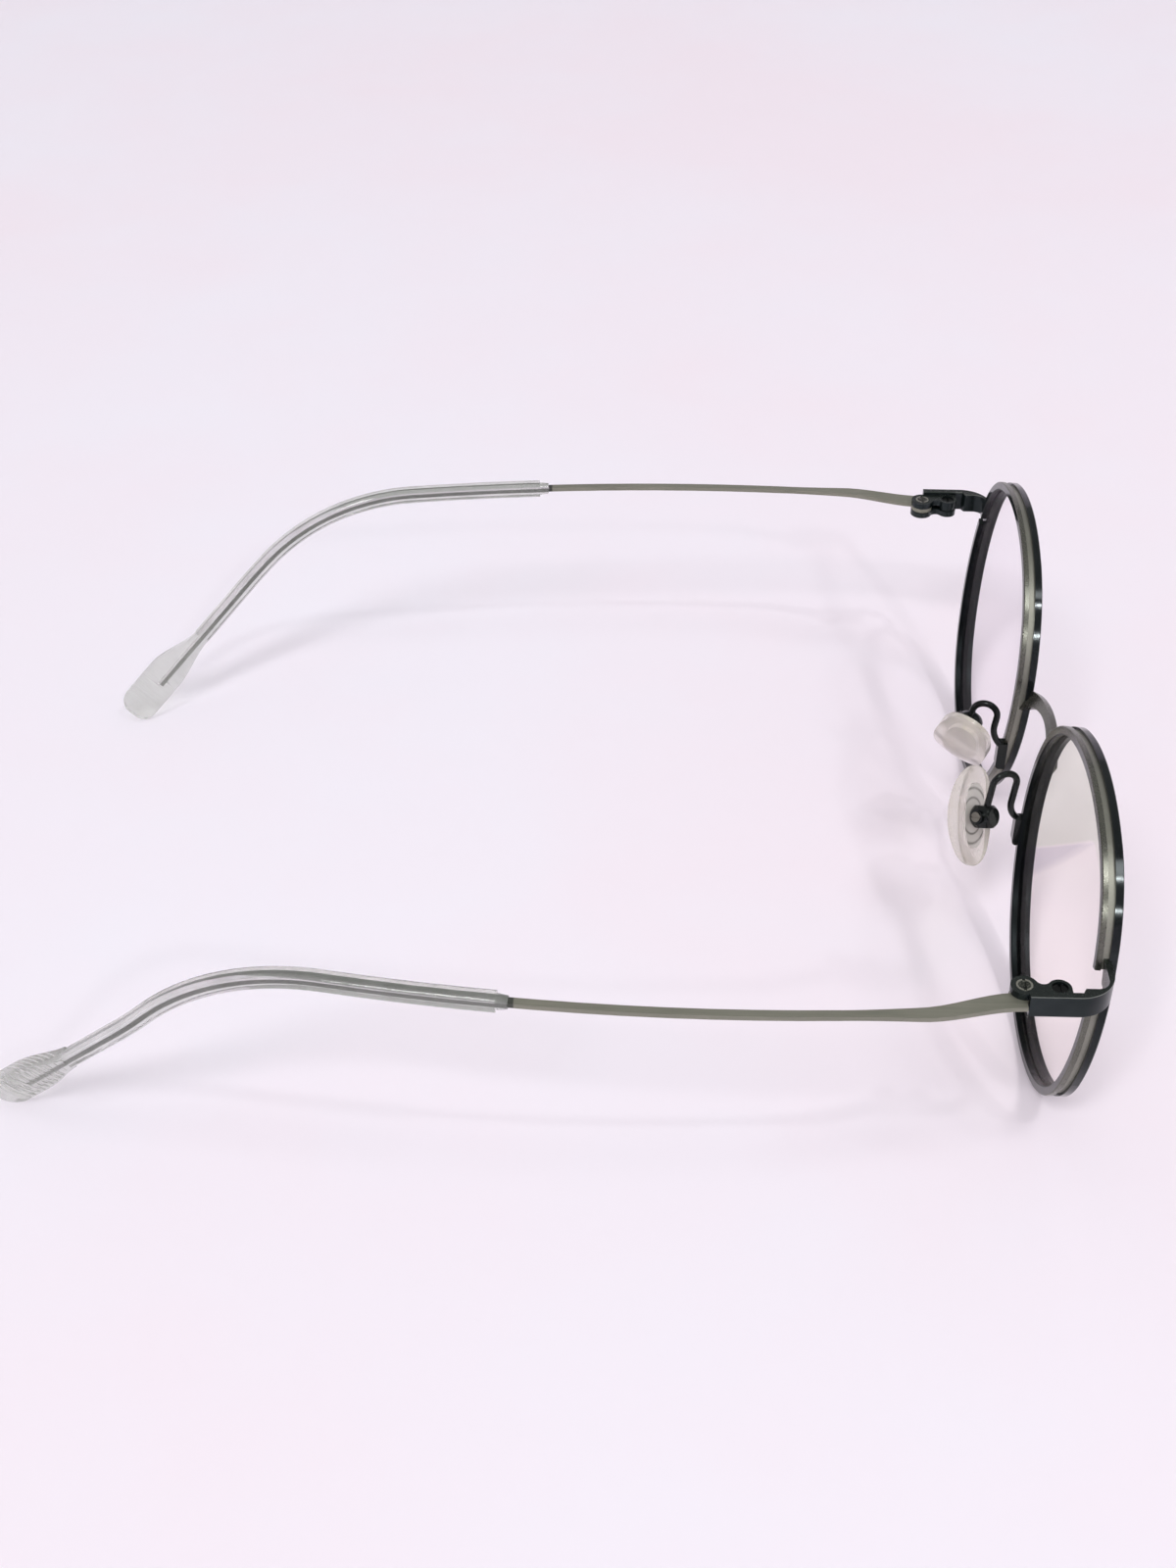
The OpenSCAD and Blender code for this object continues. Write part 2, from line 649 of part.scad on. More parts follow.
module hinge_leaf() {
    difference() {
        translate([0, 0, lower_plate_z]) linear_extrude(height = plate_t) plate_plan();
        screw_hole(hinge_at, hinge_screw_r + screw_gap);
        screw_hole(closing_at, closing_screw_r + screw_gap);
    }
}

// Block that the closing screw clamps between the two plates
module closing_block() {
    block_h = upper_plate_z - lower_plate_top;
    block_r = closing_ear_r - 3 * hinge_gap;
    difference() {
        translate([0, 0, lower_plate_top]) linear_extrude(height = block_h) union() {
            intersection() {
                translate(closing_at) circle(r = block_r);
                translate([0, closing_at.y - block_r]) square([closing_at.x + lap, 2 * block_r]);
            }
            translate([closing_at.x, closing_at.y - block_r])
                square([strap_in - closing_at.x, 2 * block_r]);
        }
        screw_hole(closing_at, closing_screw_r + screw_gap);
    }
}

// Slotted screw that stands on its lower end
module screw(at, low, head_z, shank_r, head_r) {
    slot_w = 0.35 * head_r;
    slot_depth = 0.18;
    translate([at.x, at.y, 0]) difference() {
        union() {
            translate([0, 0, low]) cylinder(r = shank_r, h = head_z - low + eps);
            translate([0, 0, head_z]) cylinder(r = head_r, h = screw_head_t);
        }
        translate([-2 * head_r, -slot_w / 2, head_z + screw_head_t - slot_depth])
            cube([4 * head_r, slot_w, screw_head_t]);
    }
}

// Temple root in plan: a smooth jog outward that narrows to the strip's width
function ease(s) = let (t = max(0, min(1, s))) t * t * (3 - 2 * t);
jog_start = hinge_y + jog_from;
jog_end = hinge_y + jog_to;
taper_start = hinge_y + taper_from;
root_slope = tan(strip_slope);
jog = strip_x - root_x - root_slope * (root_end - jog_start);
function root_mid(y) = root_x + root_slope * (y - jog_start)
    + jog * ease((y - jog_start) / (jog_end - jog_start));
function root_half(y) =
    strip_w / 2 + (root_w - strip_w) / 2 * (1 - ease((y - taper_start) / (root_end - taper_start)));
root_steps = 14;
function root_y(i) = taper_start + i * (root_end - taper_start) / root_steps;

module root_plan() {
    translate(hinge_at) circle(r = eye_r);
    polygon(concat(
        [[hinge_x, stop_y], [root_mid(stop_y) + root_half(stop_y), stop_y]],
        [for (i = [0:root_steps]) [root_mid(root_y(i)) + root_half(root_y(i)), root_y(i)]],
        [[strip_x + root_slope * lap, root_end + lap]],
        [for (i = [root_steps:-1:0]) [root_mid(root_y(i)) - root_half(root_y(i)), root_y(i)]]
    ));
}

// Strip section, grown on every side by a clearance
module strip_section(grow) {
    square([strip_w + 2 * grow, strip_t + 2 * grow], center = true);
}

// Metal strip from the root's end to the core's end
module strip(grow) {
    multmatrix(path_start) bend(bow_r, bare_a + cover_a, inward) strip_section(grow + step);
    multmatrix(at_ear) bend(ear_bend_r, ear_bend, ear_dir) strip_section(grow);
    multmatrix(at_tail) bend(tail_r, tail_bend, inward) strip_section(grow + step);
    multmatrix(at_straight) run(core_len + grow) strip_section(grow);
}

module temple() {
    difference() {
        union() {
            translate([0, 0, strip_low]) linear_extrude(height = strip_t) root_plan();
            strip(0);
        }
        screw_hole(hinge_at, hinge_screw_r + hinge_gap);
    }
}

// Section of the temple tip: a rectangle with its corners rounded by a circle
module tip_section(g) {
    intersection() {
        square([tip_w + 2 * g, tip_h + 2 * g], center = true);
        circle(d = tip_round + 2 * g);
    }
}

function paddle_half(s) = tip_h / 2 + (paddle_w - tip_h) / 2 * ease(s / paddle_flare);
function paddle_mid(s) = paddle_up * ease(s / paddle_flare);
paddle_steps = 10;

module paddle_plan() {
    flat = paddle_len - paddle_corner_r;
    polygon(concat(
        [for (i = [0:paddle_steps]) let (s = i * paddle_flare / paddle_steps)
            [paddle_mid(s) + paddle_half(s), s]],
        [[paddle_up + paddle_w / 2, flat], [paddle_up - paddle_w / 2, flat]],
        [for (i = [paddle_steps:-1:0]) let (s = i * paddle_flare / paddle_steps)
            [paddle_mid(s) - paddle_half(s), s]]
    ));
    translate([paddle_up + paddle_corner_r - paddle_w / 2, flat - eps])
        square([paddle_w - 2 * paddle_corner_r, paddle_corner_r + eps]);
    for (s = [-1, 1])
        translate([paddle_up + s * (paddle_w / 2 - paddle_corner_r), flat]) circle(r = paddle_corner_r);
}

// Space between the paddle's two domed faces
module paddle_dome(grow) {
    middle = paddle_dome_r - paddle_t / 2;
    intersection() {
        translate([middle, paddle_up, -lap]) cylinder(r = paddle_dome_r + grow, h = paddle_len + 2 * lap);
        translate([-middle, paddle_up, -lap]) cylinder(r = paddle_dome_r + grow, h = paddle_len + 2 * lap);
    }
}

module paddle() {
    first = paddle_len - rib_end - rib_pitch * (rib_count - 1);
    intersection() {
        rotate([90, 0, 90]) linear_extrude(height = 2 * paddle_t, center = true) paddle_plan();
        paddle_dome(0);
    }
    for (i = [0:rib_count - 1]) let (s = first + i * rib_pitch, half = paddle_half(s) - rib_w / 2)
        intersection() {
            translate([-paddle_t, paddle_mid(s) - half, s - rib_w / 2])
                cube([2 * paddle_t, 2 * half, rib_w]);
            paddle_dome(rib_rise);
        }
}

// Clear tip with a channel for the metal core
module temple_tip() {
    difference() {
        union() {
            multmatrix(at_collar) translate([0, 0, -collar_len])
                cylinder(d1 = strip_w + 0.5, d2 = tip_w - 2 * step, h = collar_len + lap);
            multmatrix(at_collar) bend(bow_r, cover_a, inward) tip_section(0);
            multmatrix(at_ear) bend(ear_bend_r, ear_bend, ear_dir) tip_section(step);
            multmatrix(at_tail) bend(tail_r, tail_bend, inward) tip_section(0);
            multmatrix(at_straight) run(tail_len) tip_section(step);
            multmatrix(at_paddle) paddle();
        }
        strip(core_gap);
    }
}

module arm_section(g) {
    circle(r = arm_d / 2 + g);
}

// Foot of a pad arm: it lies on the rim's back and along its edge, with a round lower end
module arm_foot() {
    nose_side = wire_x - arm_d / 2;
    width = foot_x + arm_foot_over - nose_side;
    low = arm_foot_z - arm_foot_h / 2;
    round_r = 0.6;
    translate([nose_side, foot_back - braze / 2, low + round_r])
        cube([width, arm_foot_d + braze / 2, arm_foot_h - round_r]);
    translate([nose_side, foot_back - braze / 2, low])
        cube([width, arm_foot_d + braze / 2 - round_r, arm_foot_h / 2]);
    translate([nose_side, foot_back + arm_foot_d - round_r, low + round_r]) rotate([0, 90, 0])
        cylinder(r = round_r, h = width);
    difference() {
        translate([nose_side, foot_back - back_ridge, low])
            cube([width, back_ridge, arm_foot_h]);
        rim_core(nose_arc);
    }
}

// Pad arm: a foot brazed to the rim and one bent wire
module pad_arm(side) {
    difference() {
        union() {
            arm_foot();
            multmatrix(arm_start) bend(arm_sweep_r, arm_sweep, forward_bend) arm_section(0);
            multmatrix(after_sweep) run(arm_rise[side]) arm_section(step);
            multmatrix(before_loop(side)) bend(arm_loop_r, arm_loop, back_bend) arm_section(0);
            multmatrix(after_loop(side)) run(arm_drop[side]) arm_section(step);
        }
        translate(box_at(side)) sphere(r = box_r - braze / 2);
    }
}

// Pad box: a block rounded by a ball, with a slot for the pad's lug, a boss and a screw hole
module pad_box(side) {
    slot_half = 1.25;
    at_pad(side) difference() {
        union() {
            intersection() {
                cube([2 * box_r - 0.2, 2 * box_r, 2 * box_r - 0.3], center = true);
                sphere(r = 1.2 * box_r);
            }
            rotate([-90, 0, 0]) cylinder(r = pad_head_r + 0.25, h = box_r + box_boss);
        }
        translate([-2 * box_r, -box_slot / 2, -slot_half])
            cube([2 * box_r + lug_r + lug_gap, box_slot, 2 * slot_half]);
        translate([0, 2 * box_r, 0]) rotate([90, 0, 0])
            cylinder(r = pad_screw_r + screw_gap, h = 4 * box_r);
        translate([0, pad_seat_y, 0]) rotate([-90, 0, 0])
            cylinder(r = pad_head_r + screw_gap, h = box_r);
    }
}

module pad_screw(side) {
    slot_w = 0.22;
    at_pad(side) difference() {
        union() {
            translate([0, 1 - box_r, 0]) rotate([-90, 0, 0])
                cylinder(r = pad_screw_r, h = pad_seat_y - 1 + box_r + eps);
            translate([0, pad_seat_y, 0]) rotate([-90, 0, 0]) cylinder(r = pad_head_r, h = 0.4);
        }
        translate([-box_r, pad_seat_y + 0.2, -slot_w / 2]) cube([2 * box_r, 1, slot_w]);
    }
}

// Oval of four tangent arcs
module oval(length, width, end_r) {
    side_arc_r = (pow(length / 2 - end_r, 2) + pow(width / 2, 2) - end_r * end_r)
        / (width - 2 * end_r);
    touch = (length / 2 - end_r) * side_arc_r / (side_arc_r - end_r);
    intersection() {
        translate([side_arc_r - width / 2, 0]) circle(r = side_arc_r, $fn = 180);
        translate([width / 2 - side_arc_r, 0]) circle(r = side_arc_r, $fn = 180);
        translate([-width / 2, -touch]) square([width, 2 * touch]);
    }
    for (s = [-1, 1]) translate([0, s * (length / 2 - end_r)]) circle(r = end_r);
}

// Extrusion of a pad's plan: plan x is its width, plan y its length, from x0 towards the nose
module pad_slab(x0, thick) {
    translate([x0, -pad_ahead, 0]) rotate([90, 0, 90]) translate([0, 0, -thick])
        linear_extrude(height = thick) children();
}

module nose_pad(side) {
    at_pad(side) difference() {
        intersection() {
            pad_slab(-pad_off, pad_t) oval(pad_len, pad_w, pad_end_r);
            translate([pad_dome_r - pad_off - pad_t, -pad_ahead, 0]) sphere(r = pad_dome_r, $fn = 200);
        }
        pad_slab(-pad_off + eps, insert_t + lug_gap)
            oval(insert_len + 2 * lug_gap, insert_w + 2 * lug_gap, insert_end_r + lug_gap);
    }
}

// Hard insert: a plate in the pad's back with the lug that the box holds
module pad_insert(side) {
    lug_half = 0.75;
    at_pad(side) difference() {
        union() {
            pad_slab(-pad_off, insert_t) oval(insert_len, insert_w, insert_end_r);
            translate([-pad_off - eps, -lug_t / 2, -lug_half])
                cube([pad_off + eps, lug_t, 2 * lug_half]);
            translate([0, lug_t / 2, 0]) rotate([90, 0, 0]) cylinder(r = lug_r, h = lug_t);
        }
        translate([0, box_r, 0]) rotate([90, 0, 0])
            cylinder(r = pad_screw_r + lug_gap, h = 2 * box_r);
    }
}

module hinge_screw() {
    screw(hinge_at, lower_plate_z, hinge_head_z, hinge_screw_r, hinge_head_r);
}

module closing_screw() {
    screw(closing_at, lower_plate_z, closing_head_z, closing_screw_r, closing_head_r);
}

// Nodes
module rim_left() { color(gunmetal) stand() rim(notch_left_angle, notch_left_gap); }
module rim_right() {
    color(gunmetal) stand() other_side() rim(notch_right_angle, notch_right_gap);
}
module lens_left() { color(lens_tint) stand() lens(); }
module lens_right() { color(lens_tint) stand() other_side() lens(); }
module endpiece_left() { color(gunmetal) stand() endpiece(); }
module endpiece_right() { color(gunmetal) stand() other_side() endpiece(); }
module hinge_leaf_left() { color(gunmetal) stand() hinge_leaf(); }
module hinge_leaf_right() { color(gunmetal) stand() other_side() hinge_leaf(); }
module closing_block_left() { color(gunmetal) stand() closing_block(); }
module closing_block_right() { color(gunmetal) stand() other_side() closing_block(); }
module hinge_screw_left() { color(dark_steel) stand() hinge_screw(); }
module hinge_screw_right() { color(dark_steel) stand() other_side() hinge_screw(); }
module closing_screw_left() { color(dark_steel) stand() closing_screw(); }
module closing_screw_right() { color(dark_steel) stand() other_side() closing_screw(); }
module temple_left() { color(olive_grey) stand() temple(); }
module temple_right() { color(olive_grey) stand() other_side() temple(); }
module temple_tip_left() { color(smoke_clear) stand() temple_tip(); }
module temple_tip_right() { color(smoke_clear) stand() other_side() temple_tip(); }
module pad_arm_left() { color(gunmetal) stand() pad_arm(LEFT); }
module pad_arm_right() { color(gunmetal) stand() other_side() pad_arm(RIGHT); }
module pad_box_left() { color(gunmetal) stand() pad_box(LEFT); }
module pad_box_right() { color(gunmetal) stand() other_side() pad_box(RIGHT); }
module pad_screw_left() { color(dark_steel) stand() pad_screw(LEFT); }
module pad_screw_right() { color(dark_steel) stand() other_side() pad_screw(RIGHT); }
module nose_pad_left() { color(pad_clear) stand() nose_pad(LEFT); }
module nose_pad_right() { color(pad_clear) stand() other_side() nose_pad(RIGHT); }
module pad_insert_left() { color(insert_clear) stand() pad_insert(LEFT); }
module pad_insert_right() { color(insert_clear) stand() other_side() pad_insert(RIGHT); }

rim_left();
rim_right();
lens_left();
lens_right();
bridge();
endpiece_left();
endpiece_right();
hinge_leaf_left();
hinge_leaf_right();
closing_block_left();
closing_block_right();
hinge_screw_left();
hinge_screw_right();
closing_screw_left();
closing_screw_right();
temple_left();
temple_right();
temple_tip_left();
temple_tip_right();
pad_arm_left();
pad_arm_right();
pad_box_left();
pad_box_right();
pad_screw_left();
pad_screw_right();
nose_pad_left();
nose_pad_right();
pad_insert_left();
pad_insert_right();
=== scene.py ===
import math

import bpy
import numpy as np
from mathutils import Matrix, Vector


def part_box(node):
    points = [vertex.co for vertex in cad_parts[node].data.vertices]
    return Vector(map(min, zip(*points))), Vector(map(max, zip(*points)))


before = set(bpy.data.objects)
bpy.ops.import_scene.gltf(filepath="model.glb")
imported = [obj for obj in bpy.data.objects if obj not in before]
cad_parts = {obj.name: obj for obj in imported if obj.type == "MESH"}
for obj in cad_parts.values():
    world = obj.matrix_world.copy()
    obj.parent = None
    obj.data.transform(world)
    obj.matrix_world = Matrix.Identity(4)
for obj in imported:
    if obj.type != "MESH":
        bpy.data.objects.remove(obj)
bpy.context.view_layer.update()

MM = 0.001

# Middle of each lens, its lean and the tilt of the standing frame, as they come out of the CAD source
LENS_X, LENS_Y, LENS_Z = 31.7 * MM, -68.28 * MM, 22.70 * MM
LENS_LEAN, STAND_TILT = math.radians(5.33), math.radians(1.73)

# Endpiece strap's upper edge over the lens centre, and the band under it that gets a painted highlight
STRAP_TOP = 10.22 * MM
HIGHLIGHT_FROM, HIGHLIGHT_TO = STRAP_TOP - 0.20 * MM, STRAP_TOP - 0.08 * MM

# Bands of the rim, as distances back from the lens plane
CHANNEL_FRONT, CHANNEL_BACK, BACK_EDGE_FRONT = -0.27 * MM, 0.57 * MM, 0.75 * MM

# How squarely a painted face looks away from the lens or up, as the cosine of the angle
CHANNEL_FACING, BACK_EDGE_FACING, INWARD_FACING, UPWARD_FACING = 0.7, 0.3, -0.3, 0.8

# Radius of a hinge screw's head, and how far the painted shade on a temple's core starts in front of
# its sleeve
HINGE_HEAD_R, COLLAR_LEAD = 1.0 * MM, 0.6 * MM

# Where along y the sleeves begin to cloud towards the paddles, over how far, and how much in the end
CLOUD_FROM, CLOUD_FADE, CLOUD_SHARE = 54 * MM, 5 * MM, 0.12

# Where most values of a noise lie
NOISE_SPAN = (0.3, 0.7)


# Shader sums

class Field:
    """A shader socket that takes part in plain Python sums."""

    def __init__(self, look, socket):
        self.look, self.socket = look, socket

    def _maths(self, operation, *values, clamp=False):
        settings = {"operation": operation, "use_clamp": clamp}
        return self.look.node("ShaderNodeMath", settings, dict(enumerate(values)))

    def __add__(self, other):
        return self._maths("ADD", self, other)

    def __radd__(self, other):
        return self._maths("ADD", other, self)

    def __sub__(self, other):
        return self._maths("SUBTRACT", self, other)

    def __rsub__(self, other):
        return self._maths("SUBTRACT", other, self)

    def __mul__(self, other):
        return self._maths("MULTIPLY", self, other)

    def __rmul__(self, other):
        return self._maths("MULTIPLY", other, self)

    def __truediv__(self, other):
        return self._maths("DIVIDE", self, other)

    def __rtruediv__(self, other):
        return self._maths("DIVIDE", other, self)

    def __pow__(self, other):
        return self._maths("POWER", self, other)

    def __abs__(self):
        return self._maths("ABSOLUTE", self)

    def between(self, low, high):
        """0 below low, 1 above high and a straight rise between."""
        return self._maths("MULTIPLY", self - low, 1.0 / (high - low), clamp=True)

    def held(self):
        """The same value, kept from 0 to 1."""
        return self._maths("ADD", self, 0.0, clamp=True)


class Look:
    """The node tree of a material or of the world, under construction."""

    def __init__(self, owner):
        self.owner = owner
        owner.use_nodes = True
        self.tree = owner.node_tree
        self.tree.nodes.clear()

    def node(self, kind, settings=None, sockets=None, out=0):
        """Any node: its settings first, then the values or links of its sockets."""
        made = self.tree.nodes.new(kind)
        for key, value in (settings or {}).items():
            if key == "stops":
                for stop, (place, colour) in zip(made.color_ramp.elements, value):
                    stop.position, stop.color = place, colour
            else:
                setattr(made, key, value)
        for key, value in (sockets or {}).items():
            if isinstance(value, Field):
                self.tree.links.new(value.socket, made.inputs[key])
            else:
                made.inputs[key].default_value = value
        return Field(self, made.outputs[out]) if made.outputs else None

    def place(self, axis=None):
        """Where a point lies on the object, in metres, or only its X, Y or Z."""
        where = self.node("ShaderNodeTexCoord", out="Object")
        return where if axis is None else self.node("ShaderNodeSeparateXYZ", {}, {0: where}, out=axis)

    def noise(self, size, detail=2.0, roughness=0.5, stretch=(1, 1, 1)):
        """Cloudy noise from 0 to 1 whose lumps are about size metres across."""
        spread = self.node("ShaderNodeMapping", {"vector_type": "POINT"},
                           {"Vector": self.place(), "Scale": stretch})
        return self.node("ShaderNodeTexNoise", {"noise_dimensions": "3D"}, {
            "Vector": spread, "Scale": 1.0 / size, "Detail": detail, "Roughness": roughness})

    def blend(self, share, first, second):
        """Colour from first to second as share goes from 0 to 1."""
        return self.node("ShaderNodeMix", {"data_type": "RGBA"}, {0: share, 6: first, 7: second}, out=2)

    def layer(self, share, under, over):
        """Shader from under to over as share goes from 0 to 1."""
        return self.node("ShaderNodeMixShader", {}, {0: share, 1: under, 2: over})

    def bump(self, height, distance, strength):
        return self.node("ShaderNodeBump", {}, {
            "Height": height, "Distance": distance, "Strength": strength})

    def principled(self, sockets):
        return self.node("ShaderNodeBsdfPrincipled", {}, sockets)

    def see_through(self, colour):
        return self.node("ShaderNodeBsdfTransparent", {}, {"Color": colour})

    def shadow_ray(self):
        return self.node("ShaderNodeLightPath", out="Is Shadow Ray")

    def done(self, surface, sink="ShaderNodeOutputMaterial"):
        self.node(sink, {}, {"Surface": surface})
        return self.owner


def new_finish(name):
    return Look(bpy.data.materials.new(name))


def rgb(red, green, blue):
    """A colour given as it looks on a screen, 0 to 255, turned to linear light."""
    def lift(level):
        level /= 255.0
        return level / 12.92 if level <= 0.04045 else ((level + 0.055) / 1.055) ** 2.4
    return (lift(red), lift(green), lift(blue), 1.0)


# Finishes

def plated_metal(name, dark, light, rough, metallic, grain, spots=0.0):
    """Plated alloy: a colour that drifts a little, fine specks and a soft orange peel."""
    look = new_finish(name)
    drift = look.noise(6 * MM, detail=3)
    speck = look.noise(0.25 * MM, detail=2)
    patches = (drift * 0.7 + speck * (0.3 + spots)).between(0.3, 0.75 + spots)
    return look.done(look.principled({
        "Base Color": look.blend(patches, dark, light), "Metallic": metallic,
        "Roughness": rough + (speck - 0.5) * 0.12 + (drift - 0.5) * 0.10,
        "Normal": look.bump(speck * 0.6 + drift * 0.4, grain, 0.35), "Specular IOR Level": 0.5}))


def clear_plastic(name, tint, haze_colour, rough, haze, ripple, ior, cloudy_from=None):
    """Cast clear plastic: light goes through it, with a little cloud in the stuff.

    Behind cloudy_from it is cloudier, as in the paddles, whose ribs scatter the light.
    """
    look = new_finish(name)
    drift = look.noise(4 * MM, detail=2)
    patches = drift.between(*NOISE_SPAN)
    skin = look.bump(look.noise(2.5 * MM, detail=1), ripple, 0.25)
    solid = look.principled({
        "Base Color": look.blend(patches, tint, haze_colour), "Roughness": rough + (drift - 0.5) * 0.05,
        "IOR": ior, "Transmission Weight": 1.0 - haze, "Normal": skin})
    if cloudy_from is not None:
        cloudy = look.principled({
            "Base Color": look.blend(patches, rgb(184, 185, 180), rgb(206, 207, 202)),
            "Roughness": 0.22 + drift * 0.06, "Normal": skin})
        share = look.place("Y").between(cloudy_from, cloudy_from + CLOUD_FADE) * CLOUD_SHARE
        solid = look.layer(share, solid, cloudy)
    shadow_passed = look.shadow_ray() * (0.92 - haze)
    return look.done(look.layer(shadow_passed, solid, look.see_through(haze_colour)))


def strap_plating(name, dark, light, edge_highlight):
    """Black plating with a painted highlight in grey along the strap's upper edge."""
    look = new_finish(name)
    over_lens = look.place("Z") - (look.place("Y") - LENS_Y) * math.sin(STAND_TILT) - LENS_Z
    fine_noise = look.noise(0.5 * MM, detail=3)
    # A thin painted highlight along the strap's upper edge, made ragged by the noise
    edge = (over_lens + (fine_noise - 0.5) * 0.1 * MM).between(HIGHLIGHT_FROM, HIGHLIGHT_TO)
    plating = look.blend(look.noise(5 * MM).between(*NOISE_SPAN), dark, light)
    return look.done(look.principled({
        "Base Color": look.blend(edge * 0.9, plating, edge_highlight), "Metallic": 0.6,
        "Roughness": 0.20 + fine_noise * 0.08, "Normal": look.bump(fine_noise, 0.006 * MM, 0.3)}))


def temple_metal(name, collar):
    """Satin olive grey, brushed along the strip, with painted shade from the collar back under the
    sleeve.
    """
    look = new_finish(name)
    brushed = look.noise(0.35 * MM, detail=3, stretch=(1, 0.04, 1))
    drift = look.noise(8 * MM, detail=2)
    streaks = (brushed * 0.6 + drift * 0.4).between(*NOISE_SPAN)
    bare = look.blend(streaks, rgb(122, 123, 110), rgb(140, 140, 126))
    # Painted shade on the core where the sleeve covers it
    sleeve_shaded = look.blend(drift.between(*NOISE_SPAN), rgb(58, 61, 56), rgb(80, 83, 76))
    sleeve_shade_share = look.place("Y").between(collar, collar + 0.1 * MM)
    return look.done(look.principled({
        "Base Color": look.blend(sleeve_shade_share, bare, sleeve_shaded), "Metallic": 0.5,
        "Roughness": 0.42 + brushed * 0.08, "Normal": look.bump(brushed, 0.004 * MM, 0.35)}))


def ringed_head(name, node, head_r):
    """Screw whose head is bright round its edge and dark within."""
    look = new_finish(name)
    low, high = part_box(node)
    x = look.place("X") - (low[0] + high[0]) / 2
    y = look.place("Y") - (low[1] + high[1]) / 2
    edge = ((x * x + y * y) ** 0.5).between(0.70 * head_r, 0.80 * head_r)
    fine_noise = look.noise(0.4 * MM, detail=3)
    inner = look.blend(fine_noise.between(0.35, 0.65), rgb(34, 37, 35), rgb(92, 94, 86))
    return look.done(look.principled({
        "Base Color": look.blend(edge, inner, rgb(156, 156, 145)), "Metallic": 0.9,
        "Roughness": 0.20 + fine_noise * 0.15, "Normal": look.bump(fine_noise, 0.01 * MM, 0.4)}))


def stepped_insert(name, part):
    """Hard clear insert with two moulded steps that follow its oval outline, bumped and painted as dark
    lines of shade.
    """
    look = new_finish(name)
    points = np.empty(3 * len(part.data.vertices))
    part.data.vertices.foreach_get("co", points)
    points = points.reshape(-1, 3)
    axes = np.linalg.svd(points - points.mean(axis=0), full_matrices=False)[2]

    def along(axis):
        """Where a point lies along an axis of the oval, from -1 at one end to 1 at the other."""
        reach = points @ axis
        centre, half = (np.max(reach) + np.min(reach)) / 2, np.ptp(reach) / 2
        place = look.node("ShaderNodeVectorMath", {"operation": "DOT_PRODUCT"},
                          {0: look.place(), 1: tuple(axis)}, out="Value")
        return (place - centre) / half

    long_way, short_way = along(axes[0]), along(axes[1])
    out = (long_way * long_way + short_way * short_way) ** 0.5
    places_and_widths = ((0.86, 0.07), (0.56, 0.06))
    outer, inner = [1.0 - (abs(out - place) / width).held() for place, width in places_and_widths]
    drift = look.noise(2 * MM, detail=2)
    # Dark lines of painted shade along the two steps
    steps_and_shade = ((outer + inner) * (0.55 + drift * 0.6)).held()
    return look.done(look.principled({
        "Base Color": look.blend(steps_and_shade, rgb(240, 238, 232), rgb(112, 111, 104)),
        "Roughness": 0.12 + drift * 0.06, "IOR": 1.42, "Transmission Weight": 0.45,
        "Normal": look.bump(steps_and_shade, 0.05 * MM, 0.6)}))


def painted_reflection_bands(look):
    """Shares of the painted reflections: grey over a line that rises outwards and levels off, lavender
    below it.
    """
    x, z = look.place("X"), look.place("Z")
    grey_x, grey_z, grey_rise, grey_top, bend = -16.2 * MM, 20.4 * MM, 0.854, 37.9 * MM, 3 * MM
    edge = look.node("ShaderNodeMath", {"operation": "SMOOTH_MIN"},
                     {0: grey_z + (grey_x - x) * grey_rise, 1: grey_top, 2: bend})
    grey = (z - edge).between(-0.1 * MM, 0.3 * MM)
    foot_x, foot_z, foot_rise = -18.5 * MM, 18.7 * MM, 1.114
    over_foot = (z - (foot_z + (foot_x - x) * foot_rise)).between(-0.5 * MM, 0.5 * MM)
    return grey, over_foot * (edge - z).between(-0.05 * MM, 0.35 * MM)


def lens_glass(name, tint, bands=None):
    """Clear coated lens, with two faint painted reflections on it where bands gives their shares."""
    look = new_finish(name)
    glossy_share = 0.03
    solid = look.principled({
        "Base Color": rgb(250, 247, 248), "Roughness": 0.01 + look.noise(20 * MM) * 0.01,
        "IOR": 1.5, "Transmission Weight": 1.0})
    passed = look.see_through(tint)
    # The painted reflection: two tints laid on the light that goes through
    if bands:
        grey, lavender = bands(look)
        passed = look.layer(lavender, passed, look.see_through(rgb(245, 243, 245)))
        passed = look.layer(grey, passed, look.see_through(rgb(247, 248, 243)))
    share = (look.shadow_ray() + (1 - glossy_share)).held()
    return look.done(look.layer(share, solid, passed))


rim_black = plated_metal("rim_black_plating", rgb(14, 20, 22), rgb(36, 42, 42),
                         rough=0.12, metallic=0.60, grain=0.003 * MM)
# Painted shade: darker plating for the rims' inward faces
inner_wall_shade = plated_metal("rim_inner_wall_painted_shade", rgb(8, 12, 14), rgb(22, 27, 28),
                          rough=0.30, metallic=0.90, grain=0.004 * MM)
back_edge = plated_metal("rim_back_edge", rgb(94, 95, 88), rgb(114, 114, 105),
                         rough=0.28, metallic=0.90, grain=0.006 * MM)
channel_grey = plated_metal("channel_floor", rgb(130, 130, 121), rgb(152, 152, 141),
                            rough=0.44, metallic=0.80, grain=0.006 * MM)
bridge_grey = plated_metal("bridge_plating", rgb(88, 90, 85), rgb(112, 112, 104),
                           rough=0.26, metallic=0.92, grain=0.006 * MM)
hinge_black = plated_metal("hinge_black_plating", rgb(19, 28, 29), rgb(42, 50, 49),
                           rough=0.22, metallic=0.60, grain=0.008 * MM, spots=0.1)
